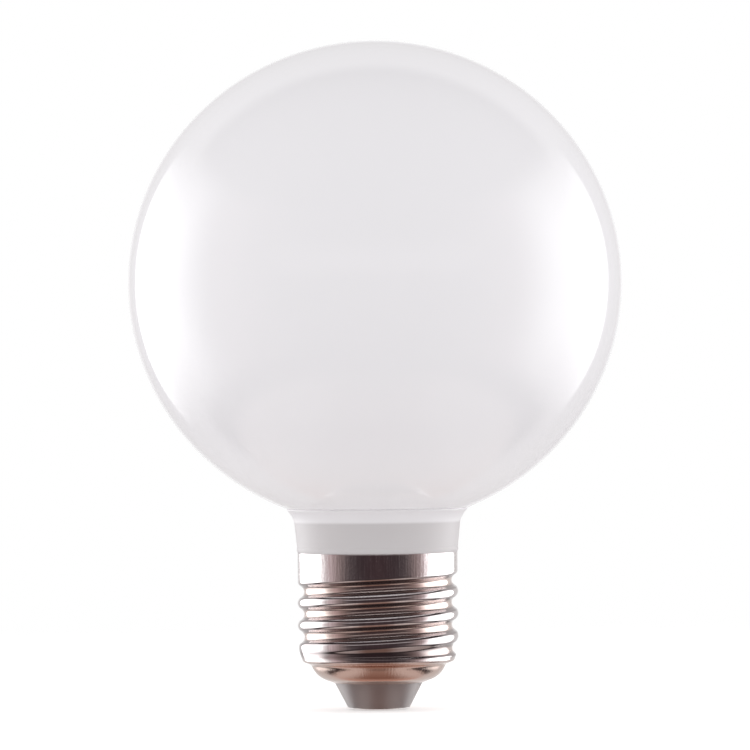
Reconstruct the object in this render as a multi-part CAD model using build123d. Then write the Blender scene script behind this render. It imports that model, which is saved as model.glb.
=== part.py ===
from build123d import *
from math import acos, asin, cos, degrees, pi, radians, sin, sqrt
import os

os.makedirs("parts", exist_ok=True)

# LED globe bulb with an E27 screw cap, in millimetres.
# The axis is Z, and z = 0 is the face of the centre contact, where the cap lands in a holder.

# Globe: opal, slightly flattened, with a neck that plugs into the collar
globe_diameter = 80.0
globe_depth = 78.4
globe_overhang = 0.25
globe_neck_length = 4.5
globe_neck_chamfer = 0.6

# Collar: moulded plastic, with a bead on the shell's mouth, a flare and a spigot inside the shell
collar_height = 7.15
collar_bead_height = 0.85
collar_bead_bulge = 0.1
collar_bead_line = 0.05
collar_lip_land = 0.3
collar_lip_round = 0.12
collar_flare_height = 2.3
collar_flare_reach = 1.2
collar_taper = 0.37
collar_foot_step = 0.06
collar_wall = 1.3
spigot_length = 12.55
spigot_chamfer = 0.5

# Screw shell: thin metal, drawn to a cup and rolled to an E27 thread
cap_length = 25.25
sheet = 0.3
thread_pitch = 3.629
thread_depth = 1.095
crest_radius = 13.05
skirt_inset = 0.08
skirt_height = 4.35
thread_start_z = 9.83
run_in = radians(320)
run_in_at_start = radians(230)
run_out = radians(90)
taper_turns = 0.75

# Underside of the shell: lip, bowl, crease, ledge and shoulder
lip_radius = 7.3
lip_z = 4.16
bowl_knee_radius = 10.05
bowl_knee_rise = 1.02
bowl_round = 3.9
bowl_radius = 10.95
bowl_rise = 2.92
bowl_crease_round = 0.5
hole_edge = 0.1
shoulder_inset = 0.75
shoulder_rise = 3.45
shoulder_round = 0.8
shoulder_flare = 0.55

# Insulator and centre contact: a cone held by its flange, and a rivet held by its stem
insulator_foot_radius = 5.02
insulator_foot_round = 0.15
insulator_top_z = 7.0
insulator_flange_radius = 8.9
contact_radius = 4.2
contact_thickness = 0.75
contact_proud = 0.15
contact_round = 0.1
stem_radius = 1.2
stem_top_z = 8.2

# Reach of a cutting section past the face or the axis that it cuts through
cut_past = 1.0

# Clearances: neck in its socket, pieces inside the shell, and the contact in the insulator
neck_fit = 0.1
shell_fit = 0.08
contact_fit = 0.05

# Steps of the rolled form: level rings to a pitch, and points round a ring
rings_per_pitch = 9
ring_points = 16

# Heights and radii that follow
globe_seat_z = cap_length + collar_height
skirt_radius = crest_radius - skirt_inset
shoulder_radius = crest_radius - shoulder_inset
collar_foot_radius = skirt_radius + collar_foot_step
collar_waist_radius = collar_foot_radius + collar_taper
collar_lip_radius = collar_waist_radius + collar_flare_reach
globe_mouth_radius = collar_lip_radius + globe_overhang
socket_radius = collar_foot_radius - collar_wall
root_radius = crest_radius - thread_depth
thread_top_z = cap_length - skirt_height
skirt_foot_z = thread_top_z - thread_pitch / 8
shoulder_z = lip_z + shoulder_rise + sheet
groove_clear_z = thread_top_z + thread_pitch * (0.5 + run_out / (2 * pi))
groove_turns = (thread_top_z - thread_start_z) / thread_pitch
hole_radius = lip_radius - hole_edge
clear_radius = crest_radius + 2 * shoulder_flare

# An E27 thread is a wave of equal arcs, tangent where crest turns to root
arc_radius = (thread_depth**2 + (thread_pitch / 2) ** 2) / (4 * thread_depth)
arc_reach = asin(thread_pitch / 4 / arc_radius)


def turned(section):
    """Solid of revolution from a section drawn as radius and height."""
    return revolve(Plane.XZ * section, Axis.Z)


def outline(*corners):
    """Closed section from corners given as radius, height and, where rounded, a radius."""
    points = [corner[:2] for corner in corners]
    rounds = [corner[2] if len(corner) > 2 else 0 for corner in corners]
    return make_face(FilletPolyline(points, radius=rounds, close=True))


def ramp(t):
    """Ease from 0 to 1 as t goes from 0 to 1."""
    t = min(max(t, 0), 1)
    return t * t * (3 - 2 * t)


def groove(u, inset):
    """Depth of the groove at a height u from its centre, on a skin parallel to the outer one."""
    if abs(u) < (arc_radius + inset) * sin(arc_reach):
        return thread_depth - arc_radius - inset + sqrt((arc_radius + inset) ** 2 - u * u)
    to_crest = thread_pitch / 2 - abs(u)
    return arc_radius - inset - sqrt(max((arc_radius - inset) ** 2 - to_crest**2, 0))


def rolled_radius(angle, z, inset):
    """Radius of the rolled skin: the groove climbs to the right and runs in and out gently."""
    taper_top = thread_start_z + thread_pitch * taper_turns
    drawn_in = ramp((taper_top - z) / (taper_top - shoulder_z) / 2)
    crest = crest_radius - (crest_radius - shoulder_radius) * drawn_in
    turn = round((z - thread_start_z) / thread_pitch - angle / (2 * pi))
    along = angle + turn * 2 * pi
    u = z - thread_start_z - thread_pitch * along / (2 * pi)
    started = ramp((along + run_in_at_start) / run_in)
    ended = ramp((groove_turns * 2 * pi + run_out - along) / run_out)
    above_shoulder = ramp((z - shoulder_z) / (thread_pitch / 4))
    return crest - inset - groove(u, inset) * started * ended * above_shoulder


def rolled(inset, foot_z, top_z):
    """Solid inside a rolled skin, lofted through level rings."""
    count = round((top_z - foot_z) / thread_pitch * rings_per_pitch)
    rings = []
    for level in range(count + 1):
        z = foot_z + (top_z - foot_z) * level / count
        points = []
        for step in range(ring_points):
            angle = 2 * pi * step / ring_points
            radius = rolled_radius(angle, z, inset)
            points.append(Vector(radius * cos(angle), radius * sin(angle), z))
        rings.append(Face(Wire([Edge.make_spline(points, periodic=True)])))
    return loft(rings)


def drawn_section(inset, top_z):
    """Section of the plain cup before rolling, moved inwards by inset."""
    section = outline(
        (-cut_past, lip_z),
        (lip_radius, lip_z),
        (bowl_knee_radius, lip_z + bowl_knee_rise, bowl_round),
        (bowl_radius, lip_z + bowl_rise, bowl_crease_round),
        (shoulder_radius, lip_z + shoulder_rise, shoulder_round),
        (crest_radius + shoulder_flare, thread_start_z + thread_pitch / 2),
        (crest_radius + shoulder_flare, skirt_foot_z - shoulder_flare),
        (skirt_radius, skirt_foot_z),
        (skirt_radius, top_z + inset),
        (-cut_past, top_z + inset),
    )
    if inset:
        section = offset(section, -inset)
    return section & Rectangle(clear_radius, top_z, align=Align.MIN)


def rolled_cup(inset, top_z):
    """Solid inside one skin of the shell: the drawn cup with the thread rolled into it."""
    foot_z = shoulder_z - thread_pitch / 4
    height = groove_clear_z + thread_pitch / 2 - foot_z
    blank = Pos(0, 0, foot_z + height / 2) * Cylinder(clear_radius, height)
    return turned(drawn_section(inset, top_z)) - (blank - rolled(inset, foot_z, foot_z + height))


def screw_shell():
    """The sheet between two rolled skins, open at its mouth, with a hole for the insulator."""
    hole = Pos(0, 0, lip_z) * Cylinder(hole_radius, bowl_rise)
    return rolled_cup(0, cap_length) - rolled_cup(sheet, cap_length + sheet) - hole


def globe():
    """One blown form: most of an ellipsoid, a flat shoulder on the collar, and a neck."""
    half_width = globe_diameter / 2
    half_depth = globe_depth / 2
    below_equator = acos(globe_mouth_radius / half_width)
    centre = (0, globe_seat_z + half_depth * sin(below_equator))
    sweep = 90 + degrees(below_equator)
    arc = EllipticalCenterArc(centre, half_width, half_depth, 90 - sweep, arc_size=sweep)
    ball = arc.to_splines()
    neck_radius = socket_radius - neck_fit
    neck_foot_z = globe_seat_z - globe_neck_length
    below = Polyline(
        ball @ 1,
        (0, neck_foot_z),
        (neck_radius - globe_neck_chamfer, neck_foot_z),
        (neck_radius, neck_foot_z + globe_neck_chamfer),
        (neck_radius, globe_seat_z),
        ball @ 0,
    )
    return turned(make_face([ball, below]))


def collar():
    """Socket for the globe, flare, taper, foot bead, and a stepped spigot clear of the thread."""
    socket_floor_z = globe_seat_z - globe_neck_length - neck_fit
    flare_foot_z = globe_seat_z - collar_lip_land - collar_flare_height
    flare_top = (collar_lip_radius, globe_seat_z - collar_lip_land)
    waist = (collar_waist_radius, flare_foot_z)
    bead_top_z = cap_length + collar_bead_height
    foot = (collar_foot_radius, bead_top_z)
    taper = (waist[0] - foot[0], waist[1] - foot[1])
    bead_top = (collar_foot_radius - collar_bead_line, bead_top_z)
    bead_swell = (skirt_radius + collar_bead_bulge, cap_length + collar_bead_height / 2)
    bead_foot = (skirt_radius - collar_bead_line, cap_length)
    inner = FilletPolyline(
        flare_top,
        (collar_lip_radius, globe_seat_z),
        (socket_radius, globe_seat_z),
        (socket_radius, socket_floor_z),
        (0, socket_floor_z),
        (0, cap_length),
        bead_foot,
        radius=[collar_lip_round, 0, 0, 0, 0],
    )
    bead = ThreePointArc(bead_foot, bead_swell, bead_top)
    flare = TangentArc(waist, flare_top, tangent=taper)
    body = make_face([bead, Line(bead_top, foot), Line(foot, waist), flare, inner])
    upper_radius = skirt_radius - sheet - shell_fit
    lower_radius = root_radius - sheet - shell_fit
    spigot_foot_z = cap_length - spigot_length
    spigot = outline(
        (0, spigot_foot_z),
        (lower_radius - spigot_chamfer, spigot_foot_z),
        (lower_radius, spigot_foot_z + spigot_chamfer),
        (lower_radius, groove_clear_z),
        (upper_radius, groove_clear_z),
        (upper_radius, cap_length),
        (0, cap_length),
    )
    return turned(body + spigot)


def insulator():
    """Cone through the shell's hole, with a flange that lies in the bowl, bored for the stem."""
    neck_radius = hole_radius - shell_fit
    cone = outline(
        (0, contact_proud),
        (insulator_foot_radius, contact_proud, insulator_foot_round),
        (neck_radius, lip_z),
        (neck_radius, insulator_top_z),
        (0, insulator_top_z),
    )
    flange_area = Rectangle(insulator_flange_radius, insulator_top_z, align=Align.MIN)
    flange = drawn_section(sheet + shell_fit, cap_length) & flange_area
    bore = outline(
        (0, 0),
        (contact_radius + contact_fit, 0),
        (contact_radius + contact_fit, contact_thickness),
        (stem_radius + contact_fit, contact_thickness),
        (stem_radius + contact_fit, insulator_top_z + cut_past),
        (0, insulator_top_z + cut_past),
    )
    return turned(cone + flange - bore)


def centre_contact():
    """Flat rivet head on a stem."""
    return turned(
        outline(
            (0, 0),
            (contact_radius, 0, contact_round),
            (contact_radius, contact_thickness),
            (stem_radius, contact_thickness),
            (stem_radius, stem_top_z),
            (0, stem_top_z),
        )
    )


nodes = {
    "opal_globe": globe(),
    "collar": collar(),
    "screw_shell": screw_shell(),
    "insulator": insulator(),
    "centre_contact": centre_contact(),
}
for name, solid in nodes.items():
    export_step(solid, f"parts/{name}.step")
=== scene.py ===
from math import acos, asin, cos, pi, radians, sin, sqrt, tan

import bpy
from mathutils import Matrix, Vector


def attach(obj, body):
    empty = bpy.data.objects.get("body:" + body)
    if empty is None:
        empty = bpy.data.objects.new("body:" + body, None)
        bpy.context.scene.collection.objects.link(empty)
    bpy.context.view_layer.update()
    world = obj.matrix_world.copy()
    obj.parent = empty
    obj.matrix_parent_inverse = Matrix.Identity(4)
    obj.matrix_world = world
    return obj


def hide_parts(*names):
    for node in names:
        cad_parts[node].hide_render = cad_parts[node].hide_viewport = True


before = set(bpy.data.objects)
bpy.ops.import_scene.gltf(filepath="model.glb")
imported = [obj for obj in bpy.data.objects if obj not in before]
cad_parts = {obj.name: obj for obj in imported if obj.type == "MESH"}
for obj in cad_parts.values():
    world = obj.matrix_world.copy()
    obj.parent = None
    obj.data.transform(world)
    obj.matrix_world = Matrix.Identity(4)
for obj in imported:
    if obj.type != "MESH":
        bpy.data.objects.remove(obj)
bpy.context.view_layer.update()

MM = 0.001

# Sizes of the real pieces in millimetres, as in the part's source
globe_half_width = 40.0
globe_half_depth = 39.2
globe_overhang = 0.25
collar_height = 7.15
collar_bead_height = 0.85
collar_bead_bulge = 0.1
collar_bead_line = 0.05
collar_lip_land = 0.3
collar_lip_round = 0.12
collar_flare_height = 2.3
collar_flare_reach = 1.2
collar_taper = 0.37
collar_foot_step = 0.06
cap_length = 25.25
sheet = 0.3
thread_pitch = 3.629
thread_depth = 1.095
crest_radius = 13.05
skirt_inset = 0.08
skirt_height = 4.35
thread_start_z = 9.83
run_in = radians(320)
run_in_at_start = radians(230)
run_out = radians(90)
lip_radius = 7.3
lip_z = 4.16
bowl_knee_radius = 10.05
bowl_knee_rise = 1.02
bowl_round = 3.9
bowl_radius = 10.95
bowl_rise = 2.92
bowl_crease_round = 0.5
shoulder_inset = 0.75
shoulder_rise = 3.45
shoulder_round = 0.8
shoulder_flare = 0.55
insulator_foot_radius = 5.02
insulator_foot_round = 0.15
contact_radius = 4.2
contact_thickness = 0.75
contact_proud = 0.15
contact_round = 0.1
shell_fit = 0.08
contact_fit = 0.05

# Heights and radii that follow
globe_seat_z = cap_length + collar_height
skirt_radius = crest_radius - skirt_inset
shoulder_radius = crest_radius - shoulder_inset
collar_foot_radius = skirt_radius + collar_foot_step
collar_waist_radius = collar_foot_radius + collar_taper
collar_lip_radius = collar_waist_radius + collar_flare_reach
thread_top_z = cap_length - skirt_height
skirt_foot_z = thread_top_z - thread_pitch / 8
shoulder_foot_z = lip_z + shoulder_rise
shoulder_z = shoulder_foot_z + sheet
hole_radius = lip_radius - sheet / 3
groove_turns = (thread_top_z - thread_start_z) / thread_pitch
arc_radius = (thread_depth**2 + (thread_pitch / 2) ** 2) / (4 * thread_depth)
arc_reach = asin(thread_pitch / 4 / arc_radius)

# Where the skins end out of sight, behind the piece that covers them
globe_seat_reach = 14.0
collar_lip_reach = 13.5
collar_foot_reach = 12.2
cone_top_z = 4.6

# Small rounds on the edges of the skins
rim_round = 0.06
hole_round = 0.09
bead_step = 0.06
neck_round = 0.12
bore_round = 0.04

# How far the collar's flare keeps the line of the taper
flare_knee = 1.25

# How finely the skins are drawn: distances between points, and steps in a curve
fine = 0.02
cone_chord = 0.03
sheet_chord = 0.04
inner_chord = 0.3
sheet_step = 0.13
inner_step = 0.5
taper_step = 0.4
button_step = 0.35
bead_steps = 24
flare_steps = 32
globe_steps = 200
crest_blend = 0.05
pole_radius = 1e-6
crease_angle = radians(32)


def rounded(corners, chord):
    """Points of an outline of (radius, z) corners, where a third number rounds the corner."""
    line = []
    for i, corner in enumerate(corners):
        here = Vector(corner[:2])
        if len(corner) < 3:
            line.append(here)
            continue
        before = (Vector(corners[i - 1][:2]) - here).normalized()
        after = (Vector(corners[i + 1][:2]) - here).normalized()
        half = acos(max(-1, min(1, before.dot(after)))) / 2
        middle = here + (before + after).normalized() * corner[2] / sin(half)
        start = here + before * corner[2] / tan(half) - middle
        turn = pi - 2 * half
        if start.x * after.y - start.y * after.x < 0:
            turn = -turn
        steps = max(2, round(abs(turn) * corner[2] / chord))
        for step in range(steps + 1):
            line.append(middle + Matrix.Rotation(turn * step / steps, 2) @ start)
    return line


def spaced(line, step):
    """The same line with points no further apart than step."""
    points = [line[0]]
    for a, b in zip(line, line[1:]):
        count = max(1, round((b - a).length / step))
        points += [a.lerp(b, k / count) for k in range(1, count + 1)]
    return points


def moved_in(line, distance):
    """The line moved to its left by a distance, point by point."""
    moved = []
    for i, here in enumerate(line):
        ahead = line[min(i + 1, len(line) - 1)]
        behind = line[max(i - 1, 0)]
        along = (ahead - behind).normalized()
        moved.append(here + Vector((-along.y, along.x)) * distance)
    return moved


def ring_surface(name, rows, around, place, closed=False):
    """A mesh of level rings: place(row, angle) gives radius and z, and a radius of 0 is a pole."""
    points, faces, rings = [], [], []
    for row in rows:
        radius, z = place(row, 0)
        if radius < pole_radius:
            rings.append([len(points)] * around)
            points.append((0, 0, z * MM))
            continue
        rings.append(list(range(len(points), len(points) + around)))
        for k in range(around):
            angle = 2 * pi * k / around
            radius, z = place(row, angle)
            points.append((radius * cos(angle) * MM, radius * sin(angle) * MM, z * MM))
    uppers = rings[1:] + rings[:1] if closed else rings[1:]
    for low, high in zip(rings, uppers):
        for k in range(around):
            n = (k + 1) % around
            corners = [low[k], low[n], high[n], high[k]]
            face = [c for j, c in enumerate(corners) if c not in corners[:j]]
            if len(face) > 2:
                faces.append(face)
    mesh = bpy.data.meshes.new(name)
    mesh.from_pydata(points, [], faces)
    mesh.validate()
    mesh.shade_smooth()
    piece = bpy.data.objects.new(name, mesh)
    bpy.context.scene.collection.objects.link(piece)
    return piece


def turned(name, line, around):
    """A piece turned round the axis from a line of points that has the outside on its right."""
    piece = ring_surface(name, line, around, lambda point, angle: (point.x, point.y))
    piece.data.set_sharp_from_angle(angle=crease_angle)
    return piece


def ramp(t):
    """Ease from 0 to 1 as t goes from 0 to 1."""
    t = min(max(t, 0), 1)
    return t * t * (3 - 2 * t)


def groove(u):
    """Depth of the rolled groove at a height u from its centre: two equal arcs."""
    if abs(u) < arc_radius * sin(arc_reach):
        return thread_depth - arc_radius + sqrt(arc_radius**2 - u * u)
    to_crest = thread_pitch / 2 - abs(u)
    return arc_radius - sqrt(max(arc_radius**2 - to_crest**2, 0))


def rolled_radius(angle, z):
    """Radius of the rolled skin: the groove climbs to the right and runs in and out gently."""
    taper_top = thread_start_z + thread_pitch * 3 / 4
    drawn_in = ramp((taper_top - z) / (taper_top - shoulder_z) / 2)
    crest = crest_radius - (crest_radius - shoulder_radius) * drawn_in
    turn = round((z - thread_start_z) / thread_pitch - angle / (2 * pi))
    along = angle + turn * 2 * pi
    u = z - thread_start_z - thread_pitch * along / (2 * pi)
    started = ramp((along + run_in_at_start) / run_in)
    ended = ramp((groove_turns * 2 * pi + run_out - along) / run_out)
    above_shoulder = ramp((z - shoulder_z) / (thread_pitch / 4))
    return crest - groove(u) * started * ended * above_shoulder


def softer(a, b, blend):
    """The lesser of a and b, eased where they meet."""
    h = max(blend - abs(a - b), 0) / blend
    return min(a, b) - h * h * blend / 4


def rolled_place(row, angle):
    """Radius and z of a point of the drawn cup after the thread is rolled into it."""
    radius, z, inset = row
    if shoulder_foot_z < z < thread_top_z + thread_pitch:
        radius = softer(radius, rolled_radius(angle, z) - inset, crest_blend)
    return radius, z


def screw_shell():
    """The sheet as one closed skin: out round the hole's edge, up outside, and down inside."""
    cup = [
        (lip_radius, lip_z),
        (bowl_knee_radius, lip_z + bowl_knee_rise, bowl_round),
        (bowl_radius, lip_z + bowl_rise, bowl_crease_round),
        (shoulder_radius, shoulder_foot_z, shoulder_round),
        (crest_radius + shoulder_flare, thread_start_z + thread_pitch / 2),
        (crest_radius + shoulder_flare, skirt_foot_z - shoulder_flare),
        (skirt_radius, skirt_foot_z),
    ]
    hole_edge = [(hole_radius, lip_z + sheet), (hole_radius, lip_z, hole_round), (lip_radius, lip_z)]
    rim = [(skirt_radius, cap_length, rim_round), (skirt_radius - sheet, cap_length)]
    outer = spaced(rounded(hole_edge, fine)[:-1] + rounded(cup + rim, sheet_chord), sheet_step)
    inner = spaced(rounded(cup + [(skirt_radius, cap_length)], inner_chord), inner_step)
    rows = [(point.x, point.y, 0) for point in outer]
    rows += [(point.x, point.y, sheet) for point in reversed(moved_in(inner, sheet))]
    return ring_surface("screw_shell_plating", rows, around=240, place=rolled_place, closed=True)


def opal_globe():
    """The globe's skin, from its flat seat on the collar up to its crown."""
    below_equator = acos((collar_lip_radius + globe_overhang) / globe_half_width)
    centre_z = globe_seat_z + globe_half_depth * sin(below_equator)
    line = [Vector((0, globe_seat_z)), Vector((globe_seat_reach, globe_seat_z))]
    for step in range(globe_steps):
        a = -below_equator + (pi / 2 + below_equator) * step / globe_steps
        line.append(Vector((globe_half_width * cos(a), centre_z + globe_half_depth * sin(a))))
    line.append(Vector((0, centre_z + globe_half_depth)))
    return turned("opal_globe_skin", line, around=320)


def collar():
    """The collar above the cap: foot bead, slight taper, flare and a rounded lip."""
    bead_foot_radius = skirt_radius - collar_bead_line
    foot = Vector((collar_foot_radius, cap_length + collar_bead_height))
    waist = Vector((collar_waist_radius, globe_seat_z - collar_lip_land - collar_flare_height))
    flare_top = Vector((collar_lip_radius, globe_seat_z - collar_lip_land))
    knee = waist + (waist - foot).normalized() * flare_knee
    step_out = collar_foot_radius - bead_foot_radius
    bulge = collar_bead_bulge + collar_bead_line - step_out / 2
    line = [Vector((collar_foot_reach, cap_length)), Vector((bead_foot_radius - bead_step, cap_length))]
    for step in range(bead_steps + 1):
        up = step / bead_steps
        radius = bead_foot_radius + step_out * up + bulge * 4 * up * (1 - up)
        line.append(Vector((radius, cap_length + collar_bead_height * up)))
    line += spaced([foot + Vector((0, bead_step)), waist], taper_step)
    for step in range(1, flare_steps + 1):
        up = step / flare_steps
        line.append(waist.lerp(knee, up).lerp(knee.lerp(flare_top, up), up))
    line += rounded([
        tuple(flare_top),
        (collar_lip_radius, globe_seat_z, collar_lip_round),
        (collar_lip_reach, globe_seat_z),
    ], fine)[1:]
    return turned("collar_moulding", line, around=256)


def insulator():
    """The cone below the shell, from the contact's recess up into the shell's hole."""
    line = rounded([
        (contact_radius + contact_fit, contact_thickness),
        (contact_radius + contact_fit, contact_proud, bore_round),
        (insulator_foot_radius, contact_proud, insulator_foot_round),
        (hole_radius - shell_fit, lip_z, neck_round),
        (hole_radius - shell_fit, cone_top_z),
    ], cone_chord)
    return turned("insulator_cone", line, around=192)


def centre_contact():
    """The rivet's head."""
    line = rounded([
        (0, 0),
        (contact_radius, 0, contact_round),
        (contact_radius, contact_thickness),
    ], fine)
    return turned("centre_contact_button", spaced(line, button_step), around=160)


class Socket:
    """A node's output, with arithmetic that adds Math nodes."""

    def __init__(self, paint, value):
        self.paint = paint
        self.value = value

    def math(self, operation, *others):
        return self.paint.math(operation, self, *others)

    def __add__(self, other):
        return self.math("ADD", other)

    def __radd__(self, other):
        return self.paint.math("ADD", other, self)

    def __mul__(self, other):
        return self.math("MULTIPLY", other)

    def __rmul__(self, other):
        return self.paint.math("MULTIPLY", other, self)

    def __rsub__(self, other):
        return self.paint.math("SUBTRACT", other, self)

    def __truediv__(self, other):
        return self.math("DIVIDE", other)

    def __pow__(self, other):
        return self.math("POWER", other)

    def __abs__(self):
        return self.math("ABSOLUTE")

    def most(self, other):
        """The greater of the two."""
        return self.math("MAXIMUM", other)

    def eased(self, low, high):
        """0 at low and 1 at high, with soft ends; low may be above high."""
        settings = {"interpolation_type": "SMOOTHSTEP"}
        sockets = {"Value": self, "From Min": low, "From Max": high}
        return self.paint.node("ShaderNodeMapRange", settings, sockets)


class Paint:
    """The node tree of one material or world."""

    def __init__(self, tree):
        self.tree = tree
        tree.nodes.clear()

    def node(self, kind, settings, sockets, out=0):
        """A node with its settings, which come first, and its sockets by name or place."""
        made = self.tree.nodes.new(kind)
        for key, value in settings.items():
            if key == "stops":
                self.set_stops(made.color_ramp.elements, value)
            else:
                setattr(made, key, value)
        for key, value in sockets.items():
            self.set_socket(made.inputs[key], value)
        return Socket(self, made.outputs[out]) if made.outputs else None

    def set_stops(self, elements, stops):
        while len(elements) < len(stops):
            elements.new(0.5)
        for element, (place, colour) in zip(elements, stops):
            element.position = place
            element.color = (*colour, 1)

    def set_socket(self, socket, value):
        if isinstance(value, Socket):
            self.tree.links.new(value.value, socket)
        elif socket.type == "RGBA":
            socket.default_value = (*value, 1)
        else:
            socket.default_value = value

    def math(self, operation, *values):
        return self.node("ShaderNodeMath", {"operation": operation}, dict(enumerate(values)))

    def mix(self, share, a, b):
        """A colour from a to b: the node takes its colours at places 6 and 7 and gives one at place 2."""
        return self.node("ShaderNodeMix", {"data_type": "RGBA"}, {0: share, 6: a, 7: b}, out=2)

    def ramp(self, along, stops):
        """A colour from stops of a place and a colour."""
        return self.node("ShaderNodeValToRGB", {"stops": stops}, {"Fac": along})

    def xyz(self, vector):
        return [self.node("ShaderNodeSeparateXYZ", {}, {"Vector": vector}, out=i) for i in range(3)]

    def at(self, x, y, z):
        return self.node("ShaderNodeCombineXYZ", {}, {"X": x, "Y": y, "Z": z})

    def place(self):
        """Where a point is in the object's own space, which is the frame, in metres."""
        return self.node("ShaderNodeTexCoord", {}, {}, out="Object")

    def ray(self, kind):
        """1 for rays of one kind."""
        return self.node("ShaderNodeLightPath", {}, {}, out=kind)

    def shows_background(self):
        """1 for camera, glossy and transmission rays."""
        rays = self.ray("Is Camera Ray").most(self.ray("Is Glossy Ray"))
        return rays.most(self.ray("Is Transmission Ray"))

    def noise(self, vector, scale, detail=2.0, roughness=0.5):
        sockets = {"Vector": vector, "Scale": scale, "Detail": detail, "Roughness": roughness}
        return self.node("ShaderNodeTexNoise", {}, sockets)

    def bump(self, height, strength, distance):
        sockets = {"Strength": strength, "Distance": distance, "Height": height}
        return self.node("ShaderNodeBump", {}, sockets)

    def both(self, share, first, second):
        """A shader from first to second."""
        return self.node("ShaderNodeMixShader", {}, {0: share, 1: first, 2: second})


def opal_white(paint):
    """Opal plastic: a faint cloud in the white, a fine orange peel, and painted light on the foot, a
    lighter white low on the globe.
    """
    foot_top_z, foot_z = 46 * MM, 34 * MM
    milky, milkier, painted_light_foot = (0.900, 0.883, 0.908), (0.910, 0.894, 0.918), (0.99, 0.972, 0.99)
    where = paint.place()
    cloud = paint.noise(where, scale=22.0, detail=3.0)
    orange_peel = paint.noise(where, scale=900.0)
    # Painted light: the lower globe near the collar is painted lighter, standing in for light that shines
    # through the opal.
    foot_painted_light_share = paint.xyz(where)[2].eased(foot_top_z, foot_z)
    return {
        "IOR": 1.5,
        "Base Color": paint.mix(foot_painted_light_share, paint.mix(cloud, milky, milkier), painted_light_foot),
        "Roughness": 0.05 + cloud * 0.05,
        "Normal": paint.bump(orange_peel, strength=0.02, distance=0.02 * MM),
    }


def collar_plastic(paint):
    """Satin white plastic in two painted tones: grey-white on the straight part, which is painted shade,
    and white on the flare, which is painted light.
    """
    flare_start_z, flare_full_z = 29.85 * MM, 30.50 * MM
    shaded_grey_white, shaded_pale_grey, flare_painted_light = (0.635, 0.608, 0.615), (0.650, 0.623, 0.630), (0.885, 0.865, 0.885)
    where = paint.place()
    pebble = paint.noise(where, scale=2600.0)
    cloud = paint.noise(where, scale=120.0, detail=3.0)
    # Painted light and shade: the flare is painted white for the light it catches, and the straight part
    # grey-white for its shade.
    painted_light_on_flare = paint.xyz(where)[2].eased(flare_start_z, flare_full_z)
    return {
        "IOR": 1.5,
        "Base Color": paint.mix(painted_light_on_flare, paint.mix(cloud, shaded_grey_white, shaded_pale_grey), flare_painted_light),
        "Roughness": 0.44 + cloud * 0.05,
        "Normal": paint.bump(pebble, strength=0.06, distance=0.02 * MM),
    }


def insulator_plastic(paint):
    """White plastic painted mauve-brown, with a soft gloss and a fine pebble: the mauve-brown is painted
    shade, the dark surroundings reflected in the white cone.
    """
    shaded_mauve, shaded_pale_mauve = (0.140, 0.086, 0.080), (0.158, 0.099, 0.092)
    where = paint.place()
    pebble = paint.noise(where, scale=3000.0)
    cloud = paint.noise(where, scale=260.0, detail=3.0)
    return {
        "IOR": 2.6,
        "Sheen Weight": 1.0,
        # Painted shade: the white cone is coloured dark mauve-brown for the dark reflections and shade on
        # it.
        "Base Color": paint.mix(cloud, shaded_mauve, shaded_pale_mauve),
        "Roughness": 0.27 + cloud * 0.06,
        "Normal": paint.bump(pebble, strength=0.06, distance=0.02 * MM),
    }


def plated_nickel(paint):
    """Bright plating: drawn streaks on the plain skirt and bowl, with painted shade on the flanks and a
    painted warm reflection in the grooves and bowl.
    """
    nickel_low, nickel_high = (0.72, 0.675, 0.67), (0.84, 0.80, 0.795)
    groove_painted_reflection, flank_painted_shade, bowl_painted_reflection = (0.70, 0.54, 0.47), (0.32, 0.28, 0.28), (0.72, 0.56, 0.49)
    streaks_around, streaks_upwards = 13.0, 60.0
    where = paint.place()
    x, y, z = paint.xyz(where)
    angle = y.math("ARCTAN2", x)
    radius = (x * x + y * y) ** 0.5
    drawn = paint.at(angle * streaks_around, z * streaks_upwards, 0.0)
    streaks = paint.noise(drawn, scale=3.0, detail=4.0, roughness=0.65)
    speckle = paint.noise(where, scale=2600.0)
    above_bowl = z.eased(8.0 * MM, 8.8 * MM)
    in_groove = radius.eased(12.90 * MM, 12.05 * MM) * above_bowl
    flank_shade_mask = radius.eased(12.97 * MM, 12.76 * MM) * radius.eased(12.00 * MM, 12.28 * MM) * above_bowl
    bowl_reflection_mask = z.eased(8.4 * MM, 7.2 * MM)
    plain = z.eased(20.4 * MM, 21.2 * MM).most(z.eased(8.4 * MM, 7.8 * MM))
    tone = paint.mix(streaks.eased(0.3, 0.7), nickel_low, nickel_high)
    # Painted reflection: the grooves are tinted tan for the warm surroundings they reflect.
    tone = paint.mix(in_groove * 0.65, tone, groove_painted_reflection)
    # Painted shade: the thread's flanks are darkened for the dark they reflect and the shade between the
    # turns.
    tone = paint.mix(flank_shade_mask * 0.8, tone, flank_painted_shade)
    # Painted reflection: the bowl is tinted warm for the tan surroundings it reflects.
    tone = paint.mix(bowl_reflection_mask * 0.9, tone, bowl_painted_reflection)
    return {
        "Metallic": 1.0,
        "Base Color": tone,
        "Roughness": 0.05 + streaks.eased(0.35, 0.8) * 0.10 * plain + in_groove * 0.12,
        "Normal": paint.bump((streaks * 0.7 + speckle * 0.3) * plain, strength=0.6, distance=0.06 * MM),
    }


def contact_nickel(paint):
    """Scuffed nickel."""
    dull, bright = (0.60, 0.57, 0.54), (0.74, 0.72, 0.70)
    scuffs = paint.noise(paint.place(), scale=700.0, detail=4.0, roughness=0.7)
    return {
        "Metallic": 1.0,
        "Base Color": paint.mix(scuffs, dull, bright),
        "Roughness": 0.2 + scuffs * 0.2,
        "Normal": paint.bump(scuffs, strength=0.15, distance=0.03 * MM),
    }


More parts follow.
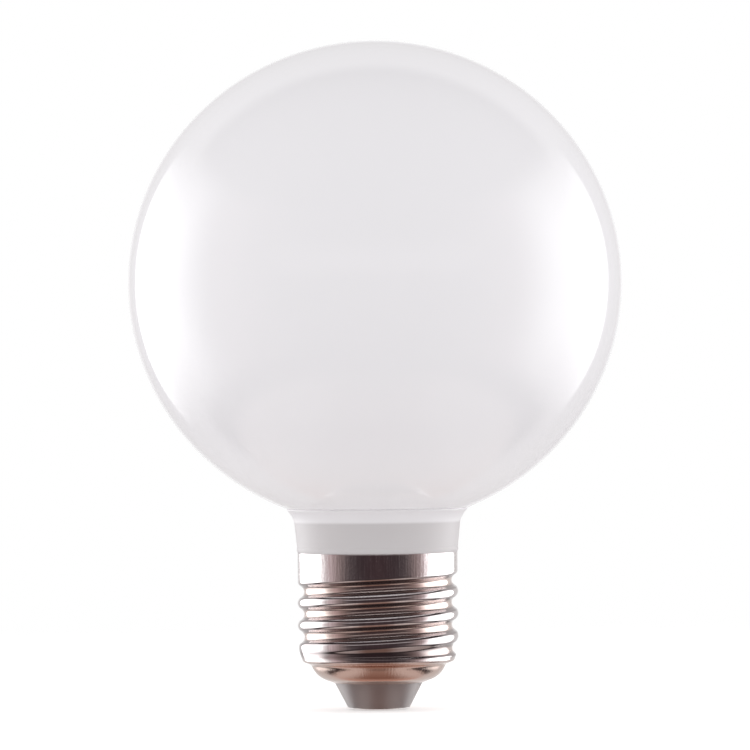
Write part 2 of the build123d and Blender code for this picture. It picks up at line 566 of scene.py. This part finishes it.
def dressed(piece, node, finish):
    """The piece stands for its CAD node and takes its finish."""
    material = bpy.data.materials.new(finish.__name__)
    material.use_nodes = True
    paint = Paint(material.node_tree)
    shader = paint.node("ShaderNodeBsdfPrincipled", {}, finish(paint))
    paint.node("ShaderNodeOutputMaterial", {}, {"Surface": shader})
    piece.data.materials.append(material)
    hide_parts(node)
    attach(piece, "root")


def reflected_room(paint, dx, dy, dz):
    """What shiny surfaces see: side panels, a dark camera side, and warm tones from below."""
    dark_strip, light_strip, dark_tone = (0.055, 0.040, 0.042), (0.42, 0.38, 0.385), (0.050, 0.036, 0.038)
    pale_tan, panel_glow = (0.66, 0.56, 0.53), (3.4, 3.4, 3.45)
    least_side = 0.0001
    flat = (dx * dx + dy * dy) ** 0.5
    towards_camera = (0.0 - dy) / flat
    steep = abs(dz) / flat
    room = paint.ramp(towards_camera, (
        (0.0, (0.70, 0.68, 0.68)),
        (0.28, (0.62, 0.50, 0.51)),
        (0.50, (0.31, 0.24, 0.235)),
        (0.755, (0.10, 0.080, 0.084)),
        (0.93, (0.048, 0.032, 0.036)),
        (1.0, (0.055, 0.033, 0.037)),
    ))

    # A thin light strip just above the level, which draws a line along each crest of the thread
    strip = steep.eased(0.03, 0.10) * steep.eased(0.36, 0.20) * towards_camera.eased(0.5, 0.8)
    strip_tone = paint.mix(dz.eased(-0.02, 0.02), dark_strip, light_strip)
    room = paint.mix(strip, room, strip_tone)

    # Dark above and below the camera
    dark = abs(dz).eased(0.48, 0.62) * dy.eased(0.62, 0.45)
    room = paint.mix(dark, room, dark_tone)

    # Warm tones straight below, paler to the sides
    below = paint.ramp(dy * 0.5 + 0.5, (
        (0.0, (0.42, 0.29, 0.245)),
        (0.42, (0.30, 0.175, 0.14)),
        (0.62, (0.24, 0.125, 0.095)),
        (0.86, (0.66, 0.43, 0.36)),
    ))
    below = paint.mix(abs(dx).eased(0.15, 0.5), below, pale_tan)
    room = paint.mix(dz.eased(-0.66, -0.74) * dy.eased(-0.80, -0.45), room, below)

    # A bright panel on each side, the left one reaching further back
    side_on = abs(dx).most(least_side)
    across = dy / side_on
    rise = abs(dz) / side_on
    left = dx.eased(0.02, -0.02)
    left_panel = left * across.eased(1.66, 1.56) * across.eased(-0.20, 0.35)
    right_panel = (1.0 - left) * across.eased(1.17, 1.08) * across.eased(-0.45, 0.15)
    panels = (left_panel + right_panel) * rise.eased(0.85, 0.15)
    return paint.mix(panels, room, panel_glow)


def studio(paint):
    """A soft fill for matt surfaces, the room for shiny ones, and a white background."""
    dx, dy, dz = paint.xyz(paint.node("ShaderNodeTexCoord", {}, {}, out="Generated"))
    room = reflected_room(paint, dx, dy, dz)
    fill = 0.805 + 0.48 * dx * dx
    light = paint.mix(paint.ray("Is Glossy Ray"), paint.at(fill, fill, fill), room)
    lit = paint.node("ShaderNodeBackground", {}, {"Color": light})
    white = paint.node("ShaderNodeBackground", {}, {"Color": (1.0, 1.0, 1.0)})
    behind = dy.eased(0.93, 0.985)
    shows_white = paint.ray("Is Camera Ray").most(paint.shows_background() * behind)
    paint.node("ShaderNodeOutputWorld", {}, {"Surface": paint.both(shows_white, lit, white)})


def pale_floor(paint):
    """Pale matt floor round the bulb, which fades out and is clear from below and in reflections."""
    fade_start, fade_end = 100 * MM, 320 * MM
    camera_lift, background_lift = 0.42, 0.02
    white = (1.0, 1.0, 1.0)
    where = paint.place()
    x, y, z = paint.xyz(where)
    reach = (x * x + y * y) ** 0.5
    from_below = paint.node("ShaderNodeNewGeometry", {}, {}, out="Backfacing")
    fades = reach.eased(fade_start, fade_end).most(paint.ray("Is Glossy Ray")).most(from_below)
    grain = paint.noise(where, scale=60.0)
    pale = paint.mix(grain, (0.90, 0.89, 0.89), (0.92, 0.91, 0.91))
    matt = paint.node("ShaderNodeBsdfDiffuse", {}, {"Color": pale})
    strength = paint.ray("Is Camera Ray") * camera_lift + paint.shows_background() * background_lift
    glow = paint.node("ShaderNodeEmission", {}, {"Color": white, "Strength": strength})
    lit = paint.node("ShaderNodeAddShader", {}, {0: matt, 1: glow})
    clear = paint.node("ShaderNodeBsdfTransparent", {}, {"Color": white})
    paint.node("ShaderNodeOutputMaterial", {}, {"Surface": paint.both(fades, lit, clear)})


def add_floor():
    """A floor two metres wide, a hair below the contact."""
    floor_gap = 0.2 * MM
    mesh = bpy.data.meshes.new("floor")
    mesh.from_pydata([(-1, -1, 0), (1, -1, 0), (1, 1, 0), (-1, 1, 0)], [], [(0, 1, 2, 3)])
    floor = bpy.data.objects.new("floor", mesh)
    bpy.context.scene.collection.objects.link(floor)
    floor.location.z = -floor_gap
    material = bpy.data.materials.new("pale_floor")
    material.use_nodes = True
    pale_floor(Paint(material.node_tree))
    mesh.materials.append(material)


def add_camera():
    """A level telephoto view with a slight roll, shifted up to frame the bulb."""
    camera_height = 0.0487
    camera_distance = 0.836
    camera_left = 0.00018
    picture_width = 0.1214
    picture_centre_z = 0.0539
    roll = radians(0.55)

    lens = bpy.data.cameras.new("camera")
    lens.sensor_width = 36.0
    lens.lens = lens.sensor_width * camera_distance / picture_width
    lens.shift_y = (picture_centre_z - camera_height) / picture_width
    lens.clip_start = 0.05
    lens.clip_end = 20
    camera = bpy.data.objects.new("camera", lens)
    bpy.context.scene.collection.objects.link(camera)
    camera.rotation_mode = "QUATERNION"
    camera.location = (-camera_left, -camera_distance, camera_height)
    level = Matrix.Rotation(pi / 2, 4, "X")
    camera.rotation_quaternion = (Matrix.Rotation(roll, 4, "Y") @ level).to_quaternion()
    bpy.context.scene.camera = camera


dressed(screw_shell(), "screw_shell", plated_nickel)
dressed(opal_globe(), "opal_globe", opal_white)
dressed(collar(), "collar", collar_plastic)
dressed(insulator(), "insulator", insulator_plastic)
dressed(centre_contact(), "centre_contact", contact_nickel)

world = bpy.data.worlds.new("studio")
bpy.context.scene.world = world
world.use_nodes = True
studio(Paint(world.node_tree))
add_floor()
add_camera()
bpy.context.scene.view_settings.view_transform = "Standard"
